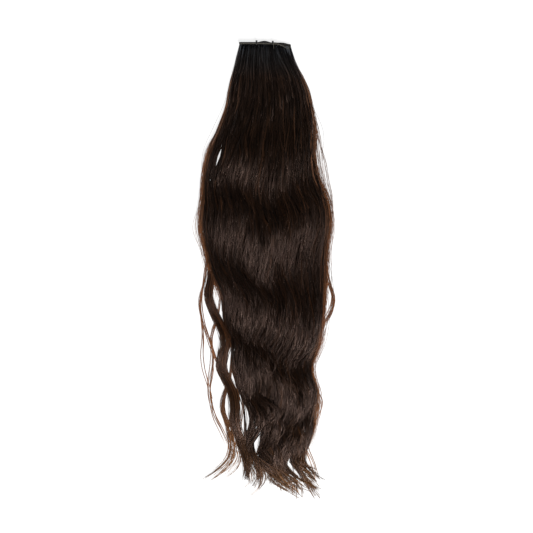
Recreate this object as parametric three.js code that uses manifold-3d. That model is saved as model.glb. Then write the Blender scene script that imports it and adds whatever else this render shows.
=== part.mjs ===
// Micro weft hair extension, folded for storage and lying flat: one sewn weft band folded back and forth into
// layers, two thread ties that hold the layers together, and the wavy hair that falls from the band in locks.
// Millimetres. +Z is up from the surface it lies on, +Y points from the tips to the band, +X is to the right.
// "down" is the distance along the hair from the band towards the tips, which is along -Y.
import * as THREE from "three";
import { mergeVertices } from "three/addons/utils/BufferGeometryUtils.js";
import Module from "manifold-3d";

const wasm = await Module();
wasm.setup();

// Weft band: a flat sewn strip, about 300 mm long before folding
const BAND_HEIGHT = 2.4;
const BAND_THICKNESS = 0.9;
const FOLD_PITCH = 1.55;
const FOLD_HALF_WIDTH = 30;
const BAND_UNDERSIDE = 1.3;
const RUN_STEPS = 16;
const TURN_STEPS = 5;
const CLEARANCE = 0.3;

// One row for each layer of the fold, from the lowest up. The lifts shift the layer's edge along +Y: at its left
// end, in the arch between the ties, and at its right end.
const BAND_LAYERS = [
  { liftLeft: 1.4, arch: 1.0, liftRight: 0.6 },
  { liftLeft: 0.6, arch: 0.4, liftRight: 0.3 },
  { liftLeft: 0.9, arch: 3.2, liftRight: 0.5 },
  { liftLeft: 0.3, arch: 0.3, liftRight: -1.8 },
  { liftLeft: 0.0, arch: 0.0, liftRight: -4.2 },
];

// Thread ties, each a few turns of thread round the layers with a knot at the band's upper edge
const TIES = [
  { name: "thread_tie_left", x: -10.2 },
  { name: "thread_tie_right", x: 9.4 },
];
const TIE_WIDTH = 1.7;
const THREAD_THICKNESS = 0.8;
const TIE_STEPS = 24;
const TIE_SIDES = 8;
const TIE_SQUARENESS = 8;
const KNOT_RADIUS = 1.1;

// Outline of the hair seen from above, and how thick it lies, at distances down from the band
const OUTLINE = [
  { down: 0, left: -30.6, right: 30.6, thick: 9 },
  { down: 22, left: -36.6, right: 37.2, thick: 10.5 },
  { down: 43, left: -41.4, right: 48, thick: 13 },
  { down: 72, left: -47.4, right: 56.4, thick: 16 },
  { down: 101, left: -58.2, right: 61.8, thick: 19 },
  { down: 130, left: -71.4, right: 61.2, thick: 21 },
  { down: 158, left: -76.2, right: 65.4, thick: 23 },
  { down: 187, left: -78, right: 76.2, thick: 24 },
  { down: 216, left: -79.8, right: 79.8, thick: 24 },
  { down: 245, left: -74.4, right: 76.2, thick: 24 },
  { down: 274, left: -67, right: 74.4, thick: 23 },
  { down: 302, left: -53.5, right: 72, thick: 22 },
  { down: 331, left: -49.5, right: 69.6, thick: 20 },
  { down: 360, left: -41.5, right: 66, thick: 19 },
  { down: 389, left: -39.5, right: 57.6, thick: 17 },
  { down: 418, left: -31, right: 62.4, thick: 15 },
  { down: 446, left: -23.5, right: 61.2, thick: 13 },
  { down: 475, left: -24, right: 54.6, thick: 10 },
  { down: 504, left: -22, right: 44.4, thick: 7 },
  { down: 523, left: -19, right: 46, thick: 4.5 },
  { down: 545, left: -16, right: 48, thick: 3 },
];

// Crests of the body wave: how far down each lies at the left edge, in the middle and at the right edge
const CRESTS = [
  { left: 45, middle: 48, right: 40 },
  { left: 120, middle: 138, right: 122 },
  { left: 190, middle: 226, right: 198 },
  { left: 286, middle: 324, right: 328 },
  { left: 356, middle: 405, right: 422 },
  { left: 440, middle: 470, right: 478 },
  { left: 512, middle: 522, right: 524 },
  { left: 590, middle: 590, right: 590 },
];
const WAVE_SWELL = 0.2;
const WAVE_SWAY = 5.2;
const WAVE_STARTS = 40;
const WAVE_FULL = 170;

// The locks of the main fall, from left to right: how far down each ends, and how far its tip flicks to the right.
// They lie side by side in one fall, with grooves between them, and part into separate tips near their ends.
const LOCKS = [
  { end: 531, flick: -6 },
  { end: 527, flick: 3 },
  { end: 543, flick: -12 },
  { end: 530, flick: 14 },
  { end: 536, flick: 20 },
  { end: 541, flick: 26 },
  { end: 534, flick: 22 },
  { end: 538, flick: 18 },
  { end: 528, flick: 28 },
  { end: 530, flick: 32 },
  { end: 542, flick: 22 },
  { end: 524, flick: 15 },
];
const FLICK_LENGTH = 60;
const FALL_STEP = 12.5;
const FALL_THINS = 450;
const FALL_END = 490;
const EDGE_FLATNESS = 3;
const EDGE_SHARE = 0.22;
const GROOVE_SHARE = 0.16;
const GROOVES_FULL = 40;
const LOCK_UNEVENNESS = 0.05;
const TIP_STARTS = 438;
const TIP_NARROWS = 488;
const TIP_ROOM = 0.92;
const TIP_WIDTH_SHARE = 0.22;
const TIP_HEIGHT_SHARE = 0.9;
const TIP_UNDERSIDE = 0.3;
const LEAST_HEIGHT = 1.4;

// Loose locks beside the main fall: their size, and the places that each passes, as distances down and sideways
const LOOSE_LOCKS = [
  {
    width: 11,
    height: 8,
    downs: [262, 281, 301, 325, 340, 358, 375, 391, 415, 435, 454, 475, 495, 517, 531],
    sides: [-64, -65, -67, -62, -53, -50, -51, -47, -41, -35, -34, -30, -26, -20, -16],
  },
  { width: 3.2, height: 3, downs: [262, 283, 310, 331, 358, 383, 405], sides: [-70, -73, -78, -76, -66, -57, -46] },
  {
    width: 2.6,
    height: 2.6,
    downs: [328, 340, 355, 371, 391, 409, 427, 447, 466, 485],
    sides: [-58, -62, -65, -63, -64, -67, -66, -61, -51, -42],
  },
  { width: 4.5, height: 3, downs: [405, 413, 429, 441, 455, 470, 485], sides: [-43, -46, -51, -52, -47, -43, -40] },
  { width: 5, height: 2.6, downs: [466, 480, 496, 508, 516, 523], sides: [-46, -42, -43, -53, -63, -73] },
  { width: 5, height: 2.6, downs: [466, 485, 500, 512, 519, 524], sides: [-42, -38, -40, -49, -58, -66] },
  { width: 4, height: 2.6, downs: [470, 490, 506, 516, 522], sides: [-32, -32, -36, -45, -54] },
  { width: 3.6, height: 3, downs: [262, 283, 307, 322, 337, 350], sides: [73, 75.5, 82, 79, 70, 63] },
  { width: 3, height: 2.6, downs: [402, 417, 429, 441, 455, 468], sides: [58, 64, 70, 68, 60, 53] },
];
const LOCK_SIDES = 6;
const LOOSE_STEP = 11;
const LOOSE_UNDERSIDE = 0.5;

const ramp = (from, to, at) => THREE.MathUtils.smoothstep(at, from, to);

// A smooth curve through a table: gives a row of the named columns at any value of the key column.
function curveThrough(rows, key, columns) {
  const keys = rows.map((row) => row[key]);
  const values = rows.flatMap((row) => columns.map((column) => row[column]));
  const curve = new THREE.CubicInterpolant(keys, values, columns.length);
  return (at) => {
    const found = curve.evaluate(at);
    return Object.fromEntries(columns.map((column, i) => [column, found[i]]));
  };
}

// A skin over rings of points, closed end to end for a loop and capped at both ends otherwise.
function loft(rings, isLoop = false) {
  const count = rings.length;
  const sides = rings[0].length;
  const vertex = (i, j) => (i % count) * sides + (j % sides);
  const triangles = [];
  for (let i = 0; i < (isLoop ? count : count - 1); i++) {
    for (let j = 0; j < sides; j++) {
      triangles.push(vertex(i, j), vertex(i, j + 1), vertex(i + 1, j + 1));
      triangles.push(vertex(i, j), vertex(i + 1, j + 1), vertex(i + 1, j));
    }
  }
  for (let j = 1; j < sides - 1 && !isLoop; j++) {
    triangles.push(vertex(0, 0), vertex(0, j + 1), vertex(0, j));
    triangles.push(vertex(count - 1, 0), vertex(count - 1, j), vertex(count - 1, j + 1));
  }
  const geometry = new THREE.BufferGeometry().setFromPoints(rings.flat());
  return geometry.setIndex(triangles);
}

function toSolid(geometry) {
  return new wasm.Manifold(
    new wasm.Mesh({
      numProp: 3,
      vertProperties: new Float32Array(geometry.getAttribute("position").array),
      triVerts: new Uint32Array(geometry.index.array),
    }),
  );
}

function toGeometry(solid) {
  const mesh = solid.getMesh();
  const geometry = new THREE.BufferGeometry();
  geometry.setAttribute("position", new THREE.BufferAttribute(mesh.vertProperties, mesh.numProp));
  geometry.setIndex(new THREE.BufferAttribute(mesh.triVerts, 1));
  geometry.computeVertexNormals();
  return geometry;
}

// How far a layer's lower edge lies along +Y at x: level on the left, arched between the ties, sloped on the right.
function bandLift(layer, x) {
  const [leftTie, rightTie] = TIES.map((tie) => tie.x);
  const across = THREE.MathUtils.clamp((x - leftTie) / (rightTie - leftTie), 0, 1);
  const level = layer.liftLeft * (1 - 0.6 * across);
  const arch = layer.arch * Math.sin(Math.PI * across) ** 2;
  const drop = (layer.liftRight - 0.4 * layer.liftLeft) * ramp(rightTie + 2, FOLD_HALF_WIDTH, x);
  return level + arch + drop;
}

// The lowest edge of all layers near x.
function lowestLift(x) {
  return Math.min(...BAND_LAYERS.flatMap((layer) => [-2, 0, 2].map((aside) => bandLift(layer, x + aside))));
}

// The band as one strip: level runs from side to side, joined by half-round turns at alternate ends.
function weftBandGeometry() {
  const rings = [];
  const addRing = (x, z, normalX, normalZ, lift) => {
    const half = BAND_THICKNESS / 2;
    const corner = (side, rise) =>
      new THREE.Vector3(x + side * half * normalX, lift + rise, z + side * half * normalZ);
    rings.push([corner(-1, 0), corner(-1, BAND_HEIGHT), corner(1, BAND_HEIGHT), corner(1, 0)]);
  };
  BAND_LAYERS.forEach((layer, i) => {
    const heading = i % 2 ? -1 : 1;
    const z = BAND_UNDERSIDE + BAND_THICKNESS / 2 + i * FOLD_PITCH;
    for (let k = 0; k <= RUN_STEPS; k++) {
      const x = heading * FOLD_HALF_WIDTH * ((2 * k) / RUN_STEPS - 1);
      addRing(x, z, 0, heading, bandLift(layer, x));
    }
    const above = BAND_LAYERS[i + 1];
    for (let k = 1; above && k < TURN_STEPS; k++) {
      const angle = (Math.PI * k) / TURN_STEPS;
      const radius = FOLD_PITCH / 2;
      const end = heading * FOLD_HALF_WIDTH;
      const lift = THREE.MathUtils.lerp(bandLift(layer, end), bandLift(above, end), k / TURN_STEPS);
      const outX = heading * Math.sin(angle);
      const outZ = -Math.cos(angle);
      addRing(end + radius * outX, z + radius + radius * outZ, -heading * outX, -heading * outZ, lift);
    }
  });
  return loft(rings);
}

// A tie is a ring with a flat oval section, bent to a rounded rectangle round all the layers, and its knot.
function tieSolid(tie) {
  const lifts = BAND_LAYERS.flatMap((layer) => [-1, 0, 1].map((k) => bandLift(layer, tie.x + k * TIE_WIDTH)));
  const inset = CLEARANCE + THREAD_THICKNESS / 2;
  const low = Math.min(...lifts) - inset;
  const high = Math.max(...lifts) + BAND_HEIGHT + inset;
  const bottom = BAND_UNDERSIDE - inset;
  const top = BAND_UNDERSIDE + BAND_THICKNESS + (BAND_LAYERS.length - 1) * FOLD_PITCH + inset;
  const halfY = (high - low) / 2;
  const halfZ = (top - bottom) / 2;
  const squared = (value) => Math.sign(value) * Math.abs(value) ** (2 / TIE_SQUARENESS);
  const rings = Array.from({ length: TIE_STEPS }, (_, i) => {
    const angle = (2 * Math.PI * i) / TIE_STEPS;
    const y = (low + high) / 2 + halfY * squared(Math.cos(angle));
    const z = (bottom + top) / 2 + halfZ * squared(Math.sin(angle));
    const outward = new THREE.Vector3(0, Math.cos(angle) / halfY, Math.sin(angle) / halfZ).normalize();
    return Array.from({ length: TIE_SIDES }, (_, j) => {
      const turn = (2 * Math.PI * (j + 0.5)) / TIE_SIDES;
      const point = new THREE.Vector3(tie.x + (TIE_WIDTH / 2) * Math.cos(turn), y, z);
      return point.addScaledVector(outward, (THREAD_THICKNESS / 2) * Math.sin(turn));
    });
  });
  const knotRings = [-0.95, -0.55, 0, 0.55, 0.95].map((share) =>
    Array.from({ length: TIE_SIDES }, (_, j) => {
      const turn = (2 * Math.PI * (j + 0.5)) / TIE_SIDES;
      const radius = KNOT_RADIUS * Math.sqrt(1 - share ** 2);
      const point = new THREE.Vector3(tie.x, high + KNOT_RADIUS * 0.6, (bottom + 2 * top) / 3);
      return point.add(new THREE.Vector3(radius * Math.cos(turn), radius * Math.sin(turn), KNOT_RADIUS * share));
    }),
  );
  return toSolid(loft(rings, true)).add(toSolid(loft(knotRings)));
}

const outlineAt = curveThrough(OUTLINE, "down", ["left", "right", "thick"]);
const crestAt = curveThrough(
  CRESTS.map((row, turn) => ({ ...row, turn })),
  "turn",
  ["left", "middle", "right"],
);

// How many waves lie above a point, at a share of the way across the hair from its left edge. Each crest runs in a
// smooth arc through its three places, and the count is found by halving.
function wavesAbove(down, across) {
  const aside = across - 0.5;
  const leftShare = 2 * aside ** 2 - aside;
  const rightShare = 2 * aside ** 2 + aside;
  let least = 0;
  let most = CRESTS.length - 1;
  for (let k = 0; k < 24; k++) {
    const turn = (least + most) / 2;
    const crest = crestAt(turn);
    const place = leftShare * crest.left + (1 - 4 * aside ** 2) * crest.middle + rightShare * crest.right;
    if (place < down) least = turn;
    else most = turn;
  }
  return least;
}

// A lock's section: a polygon with a flat underside, its corners on an ellipse that stands on the height "floor".
function lockRing(x, down, width, height, floor) {
  const flat = Math.sin(Math.PI * (0.5 - 1 / LOCK_SIDES));
  return Array.from({ length: LOCK_SIDES }, (_, j) => {
    const turn = (2 * Math.PI * (j + 0.5)) / LOCK_SIDES + Math.PI / 2;
    const rise = (1 + Math.sin(turn) / flat) / 2;
    return new THREE.Vector3(x + (width / 2) * Math.cos(turn), -down, floor + height * rise);
  });
}

// Even steps from one distance to another, none longer than the step asked for.
function stations(from, to, step) {
  const count = Math.ceil((to - from) / step);
  return Array.from({ length: count + 1 }, (_, i) => from + ((to - from) * i) / count);
}

// How the main fall lies at a share of the way across it: its sideways place and its height there.
function fallAt(down, across) {
  const { left, right, thick } = outlineAt(down);
  const waves = wavesAbove(down, across);
  const grown = ramp(WAVE_STARTS, WAVE_FULL, down);
  const dome = Math.sqrt(1 - Math.abs(2 * across - 1) ** EDGE_FLATNESS);
  const wave = grown * Math.cos(2 * Math.PI * waves);
  const sway = WAVE_SWAY * dome ** 2 * wave * (1 - 0.2 * ramp(300, 450, down));
  const swell = 1 + WAVE_SWELL * wave;
  return {
    x: THREE.MathUtils.lerp(left, right, across) + sway,
    height: thick * swell * Math.max(EDGE_SHARE, dome),
  };
}

// The main fall: flat underneath and domed above, with a rounded ridge for each lock and a groove between locks.
function mainFallGeometry() {
  const ridgePlaces = LOCKS.flatMap((_, lock) => [
    { lock, share: 0, isGroove: lock > 0 },
    { lock, share: 0.3, isGroove: false },
    { lock, share: 0.7, isGroove: false },
  ]);
  ridgePlaces.push({ lock: LOCKS.length, share: 0, isGroove: false });
  const rings = stations(0, FALL_END, FALL_STEP).map((down) => {
    const thinning = 1 - 0.7 * ramp(FALL_THINS, FALL_END, down);
    const grooved = ramp(0, GROOVES_FULL, down) * (1 - ramp(FALL_THINS, FALL_END, down));
    const top = ridgePlaces.map(({ lock, share, isGroove }) => {
      const { x, height } = fallAt(down, (lock + share) / LOCKS.length);
      const uneven = LOCK_UNEVENNESS * Math.cos(2.4 * lock) * (share ? 1 : 0);
      const level = 1 + grooved * (uneven - (isGroove ? GROOVE_SHARE : 0));
      const root = Math.max(down, CLEARANCE - lowestLift(x));
      return new THREE.Vector3(x, -root, height * thinning * level);
    });
    const first = top[0];
    const last = top[top.length - 1];
    const inset = Math.min(first.z, last.z);
    const under = [first.clone().setX(first.x + inset).setZ(0), last.clone().setX(last.x - inset).setZ(0)];
    return [...under, ...top.reverse()];
  });
  return loft(rings);
}

// The tip of one lock: it leaves the fall as wide as its share of it, narrows to its end and flicks to one side.
function tipGeometry({ end, flick }, index) {
  const rings = stations(TIP_STARTS, end, FALL_STEP).map((down) => {
    const { x, height } = fallAt(down, (index + 0.5) / LOCKS.length);
    const { left, right } = outlineAt(down);
    const taper = THREE.MathUtils.lerp(1, TIP_WIDTH_SHARE, ramp(TIP_NARROWS, end, down));
    const width = ((right - left) / LOCKS.length) * TIP_ROOM * taper;
    const tipHeight = Math.max(LEAST_HEIGHT, TIP_HEIGHT_SHARE * height * Math.sqrt(taper));
    const bend = THREE.MathUtils.clamp(1 + (down - end) / FLICK_LENGTH, 0, 1) ** 2;
    return lockRing(x + flick * bend, down, width, tipHeight, TIP_UNDERSIDE);
  });
  return loft(rings);
}

// One loose lock: a smooth way through its places, thin at both ends.
function looseLockGeometry({ width, height, downs, sides }) {
  const places = downs.map((down, i) => ({ down, side: sides[i] }));
  const sideAt = curveThrough(places, "down", ["side"]);
  const [first, last] = [downs[0], downs[downs.length - 1]];
  const rings = stations(first, last, LOOSE_STEP).map((down) => {
    const middling = Math.abs(Math.sin((Math.PI * (down - first)) / (last - first)));
    const taper = 0.45 + 0.55 * Math.sqrt(middling);
    return lockRing(sideAt(down).side, down, width * taper, height * taper, LOOSE_UNDERSIDE);
  });
  return loft(rings);
}

// All locks fused into one fall, cleared where the ties pass under the band.
function hairFallSolid() {
  const tips = LOCKS.map(tipGeometry);
  const locks = [mainFallGeometry(), ...tips, ...LOOSE_LOCKS.map(looseLockGeometry)].map(toSolid);
  const notches = TIES.map((tie) => {
    const depth = THREAD_THICKNESS + 2 * CLEARANCE;
    const width = TIE_WIDTH + 2 * CLEARANCE;
    const { thick } = OUTLINE[0];
    const box = new THREE.BoxGeometry(width, 2 * depth, 4 * thick).translate(tie.x, 0, 0);
    box.deleteAttribute("normal");
    box.deleteAttribute("uv");
    return toSolid(mergeVertices(box));
  });
  return wasm.Manifold.union(locks).subtract(wasm.Manifold.union(notches));
}

const hair = new THREE.MeshStandardMaterial({ color: 0x2b1f1a, roughness: 0.45, metalness: 0 });
const sewnBand = new THREE.MeshStandardMaterial({ color: 0x1c1a19, roughness: 0.75, metalness: 0 });
const thread = new THREE.MeshStandardMaterial({ color: 0x0e0d0d, roughness: 0.7, metalness: 0 });

function named(name, geometry, material) {
  const mesh = new THREE.Mesh(geometry, material);
  mesh.name = name;
  return mesh;
}

const group = new THREE.Group();
group.add(named("hair_fall", toGeometry(hairFallSolid()), hair));
group.add(named("weft_band", weftBandGeometry(), sewnBand));
TIES.forEach((tie) => group.add(named(tie.name, toGeometry(tieSolid(tie)), thread.clone())));

// The origin is under the middle of the whole, on the surface it lies on.
const box = new THREE.Box3().setFromObject(group, true);
const middle = box.getCenter(new THREE.Vector3());
group.position.set(-middle.x, -middle.y, -box.min.z);

export default group;
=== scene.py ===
# %% [markdown]
# A micro weft hair extension, lying flat. The hair is sewn into a thin band, the band is folded into five
# layers, two threads tie the layers together, and wavy hair falls from them for about 540 mm. The packed
# solids give the place and the form of each piece. Here every solid is dressed with what the real thing
# is made of: strands, stitches and twisted thread.

import bpy
import numpy as np
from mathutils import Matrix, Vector


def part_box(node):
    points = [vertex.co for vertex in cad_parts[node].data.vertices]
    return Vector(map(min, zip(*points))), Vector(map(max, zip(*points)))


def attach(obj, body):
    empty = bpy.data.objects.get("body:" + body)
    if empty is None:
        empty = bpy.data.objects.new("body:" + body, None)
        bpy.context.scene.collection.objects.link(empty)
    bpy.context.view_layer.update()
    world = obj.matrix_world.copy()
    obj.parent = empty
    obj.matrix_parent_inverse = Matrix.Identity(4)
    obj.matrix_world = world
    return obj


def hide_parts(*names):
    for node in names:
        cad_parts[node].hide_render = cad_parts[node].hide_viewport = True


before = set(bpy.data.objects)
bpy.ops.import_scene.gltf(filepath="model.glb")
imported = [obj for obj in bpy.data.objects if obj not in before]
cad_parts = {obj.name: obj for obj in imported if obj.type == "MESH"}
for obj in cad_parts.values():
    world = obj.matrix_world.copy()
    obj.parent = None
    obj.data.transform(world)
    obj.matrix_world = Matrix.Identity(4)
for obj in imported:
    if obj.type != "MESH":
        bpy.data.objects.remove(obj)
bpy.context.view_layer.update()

# %% [markdown]
# Hair is easiest to think about along its own length, so every shape below is worked out in millimetres
# as "x", sideways from the middle of the band, "down", from the band's lower edge towards the tips, and
# "z", up from the surface. One function turns that into the metres of the frame, with the band and the
# fall saying where zero is.

# %% From millimetres on the hair to metres in the frame
MM = 0.001
ROOT_GAP = 0.3
band_low, band_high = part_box("weft_band")
fall_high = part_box("hair_fall")[1]
BAND_MIDDLE = 0.5 * (band_low.x + band_high.x)
BAND_EDGE = fall_high.y + ROOT_GAP * MM


def in_frame(x, down, z):
    """Stacks x, down and z in millimetres into points in metres: down runs along -Y from the band."""
    x, down, z = np.broadcast_arrays(x, down, z)
    return np.stack([BAND_MIDDLE + MM * x, BAND_EDGE - MM * down, MM * z], axis=-1)


print("band middle at x", round(BAND_MIDDLE / MM, 2), "mm, lower edge at y", round(BAND_EDGE / MM, 2), "mm")

# %% [markdown]
# The form of the fall is a handful of measurements: how far it reaches to the left and right, how thick
# it lies, where the crests of its body wave are, and where its locks end. A smooth curve runs through
# each table, so the strands can ask for the form at any place, all of them at once, as one array. A
# pair such as (40, 110) is a stretch, in millimetres down the hair, over which something grows or fades.

# %% The measurements of the fall
OUTLINE = np.array([  # down, left, right, thick
    (0, -30.6, 30.6, 9), (22, -36.6, 37.2, 10.5), (43, -41.4, 48, 13), (72, -47.4, 56.4, 16),
    (101, -58.2, 61.8, 19), (130, -71.4, 61.2, 21), (158, -76.2, 65.4, 23), (187, -78, 76.2, 24),
    (216, -79.8, 79.8, 24), (245, -74.4, 76.2, 24), (274, -67, 74.4, 23), (302, -53.5, 72, 22),
    (331, -49.5, 69.6, 20), (360, -41.5, 66, 19), (389, -39.5, 56, 17), (418, -31, 62.4, 15),
    (446, -23.5, 61.2, 13), (475, -24, 54.6, 10), (504, -22, 41.5, 7), (523, -19, 46, 4.5),
    (545, -16, 48, 3),
])
CRESTS = np.array([  # left, middle, right: how far down each crest lies
    (45, 48, 40), (120, 138, 122), (190, 226, 198), (286, 324, 328),
    (356, 405, 422), (440, 470, 478), (512, 522, 524), (590, 590, 590),
])
LOCKS = np.array([  # end, flick: how far down each lock ends, and how far its tip flicks to the right
    (526, -4), (523, 2), (532, -8), (528, 10), (536, 14), (543, 18),
    (538, 20), (542, 18), (530, 30), (532, 34), (543, 24), (526, 18),
], float)
print("outline rows:", len(OUTLINE), "crests:", len(CRESTS), "locks:", len(LOCKS))

# %% Steps, bells and curves


def ramp(start, end, at):
    """A smooth step: 0 before start, 1 after end, and 3t^2 - 2t^3 between them."""
    t = np.clip((at - start) / (end - start), 0, 1)
    return t * t * (3 - 2 * t)


def blend(a, b, t):
    """The straight mix of a and b: a where t is 0, b where t is 1."""
    return a + (b - a) * t


def bell(middle, half_length, at):
    """A bell that is 1 at its middle: exp(-d^2), with d the distance from it in half lengths."""
    return np.exp(-(((at - middle) / half_length) ** 2))


def curve_through(places, values, at):
    """A smooth curve through a table: between two rows a cubic that has the table's slope at both."""
    slopes = np.gradient(values, places)
    row = np.clip(np.searchsorted(places, at) - 1, 0, len(places) - 2)
    gap = places[row + 1] - places[row]
    t = np.clip((at - places[row]) / gap, 0, 1)
    near = (1 + 2 * t) * (1 - t) ** 2 * values[row] + t * (1 - t) ** 2 * gap * slopes[row]
    far = t * t * (3 - 2 * t) * values[row + 1] - t * t * (1 - t) * gap * slopes[row + 1]
    return near + far


print("a step from 10 to 20, at 15:", ramp(10, 20, 15), "and a bell's height one half length away:",
      round(bell(0, 5, 5), 3))

# %% The form of the fall at any place
EDGE_INSETS = (2.9, -1.8, 0.0)
INSET_GROWS, INSET_FADES = (40, 110), (250, 310)
WAVE_GROWS = (40, 170)
WAVE_SWELL, LOWER_SWELL, SWELL_GROWS = 0.2, 0.85, (250, 380)
WAVE_SWAY, LOWER_SWAY, SWAY_FADES = 5.2, 0.2, (300, 450)
EDGE_FLATNESS, EDGE_SHARE = 3, 0.22
HALVINGS = 18


def outline_at(down):
    """Left edge, right edge and thickness: the table, with the edges a little further in where the fall is
    wide, because strands wander past their own line."""
    wide = ramp(*INSET_GROWS, down) * (1 - ramp(*INSET_FADES, down))
    return [curve_through(OUTLINE[:, 0], OUTLINE[:, column + 1], down) + inset * wide
            for column, inset in enumerate(EDGE_INSETS)]


def waves_above(down, across):
    """How many waves lie above a point: a crest is an arc through its three places, and halving finds the
    count."""
    aside = across - 0.5
    turns = np.arange(len(CRESTS), dtype=float)
    least, most = np.zeros_like(down), np.full_like(down, len(CRESTS) - 1.0)
    for _ in range(HALVINGS):
        middle = 0.5 * (least + most)
        left, centre, right = [curve_through(turns, CRESTS[:, column], middle) for column in range(3)]
        place = (2 * aside**2 - aside) * left + (1 - 4 * aside**2) * centre + (2 * aside**2 + aside) * right
        least, most = np.where(place < down, middle, least), np.where(place < down, most, middle)
    return least


def fall_at(down, across, lag=0.0, swing=1.0):
    """Sideways place, height and wave of the fall: the outline's width, swung and swollen by the wave, and
    domed from edge to edge."""
    down, across = np.broadcast_arrays(np.asarray(down, float), np.asarray(across, float))
    left, right, thick = outline_at(down)
    inside = np.clip(across, 0, 1)
    wave = ramp(*WAVE_GROWS, down) * np.cos(2 * np.pi * waves_above(down + lag, inside))
    dome = np.sqrt(1 - np.abs(2 * inside - 1) ** EDGE_FLATNESS)
    sway = WAVE_SWAY * swing * dome**2 * wave * (1 - LOWER_SWAY * ramp(*SWAY_FADES, down))
    swell = WAVE_SWELL * (1 + LOWER_SWELL * ramp(*SWELL_GROWS, down))
    height = thick * (1 + swell * wave) * np.maximum(EDGE_SHARE, dome)
    return blend(left, right, across) + sway, height, wave


print("height along the middle, mm:", np.round(fall_at(np.linspace(0, 540, 10), 0.5)[1], 1))

# %% [markdown]
# A colour picked from a picture is an sRGB value, but light adds up in linear values, so one function
# converts. A second one adds a shader node, fills its sockets and links it, which keeps every finish
# below to a few lines.

# %% Helpers for the finishes


def linear(hex_colour):
    """sRGB hex to linear RGBA: below 0.04045 divide by 12.92, above it ((c + 0.055) / 1.055) ^ 2.4."""
    srgb = np.array([int(hex_colour[i:i + 2], 16) for i in (1, 3, 5)]) / 255
    rgb = np.where(srgb <= 0.04045, srgb / 12.92, ((srgb + 0.055) / 1.055) ** 2.4)
    return (*rgb.tolist(), 1.0)


def add_node(tree, kind, links=None, sockets=None, **settings):
    """Adds one node: settings are its fields, sockets its input values, links the outputs that feed it."""
    node = tree.nodes.new(kind)
    for field, value in settings.items():
        setattr(node, field, value)
    for socket, value in (sockets or {}).items():
        node.inputs[socket].default_value = value
    for socket, source in (links or {}).items():
        tree.links.new(source, node.inputs[socket])
    return node


def new_finish(name):
    """An empty material with its output node."""
    material = bpy.data.materials.new(name)
    material.use_nodes = True
    material.node_tree.nodes.clear()
    return material, material.node_tree, add_node(material.node_tree, "ShaderNodeOutputMaterial")


def set_stops(ramp_node, stops):
    """Fills a colour ramp with (place, hex colour) stops."""
    elements = ramp_node.color_ramp.elements
    for _ in range(len(stops) - len(elements)):
        elements.new(0.5)
    for element, (place, colour) in zip(elements, stops):
        element.position = place
        element.color = linear(colour)


print("white in linear values:", linear("#ffffff"), "mid grey:", round(linear("#808080")[0], 3))

# %% [markdown]
# The finish of the hair. Dyed human hair is a clear keratin thread with brown pigment inside: the surface
# gives a broad, faintly warm gloss, and the pigment gives the colour. The roots are dyed nearly black and
# the lengths are dark brown. The ends are lighter and warmer, partly because the cuticle is worn there and
# partly as painted light, for the light that comes through the thin ends where fewer hairs overlap. The
# lightest tones at the roots are bluish grey, a painted highlight for the neutral sheen of the roots. Two
# maps tell a strand what it needs: StrandUV holds its tone and how far down it is, and WispUV holds a
# number of its own, so that the gloss can change from wisp to wisp, as it does where some cuticles lie
# flat and others are raised. The patches along a wisp are about 60 mm long.

# %% Dyed human hair, cut, combed and set in a body wave
HAIR_LENGTH = 550.0
HAIR_IOR = 1.55
PATCH_MM = 60.0
PATCH_TONE = 0.02
GLOSS_TINT = "#ffd6c5"
# Painted light: the bluish root stops stand in for the neutral sheen of the roots, and the lighter tip
# stops partly for light coming through the thin ends.
DEEP_TONES = [
    (0.0, "#05080b"), (0.06, "#040607"), (0.12, "#030303"), (0.2, "#020201"), (0.5, "#030201"),
    (0.84, "#040201"), (0.9, "#0a0503"), (0.95, "#1c1008"), (1.0, "#5a3c26"),
]
LIGHT_TONES = [
    (0.0, "#68717a"), (0.042, "#6c6a6a"), (0.075, "#846049"), (0.22, "#8e6246"), (0.4, "#905f3e"),
    (0.6, "#925d3a"), (0.84, "#9c683f"), (0.92, "#ac7849"), (1.0, "#c09060"),
]


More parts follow.
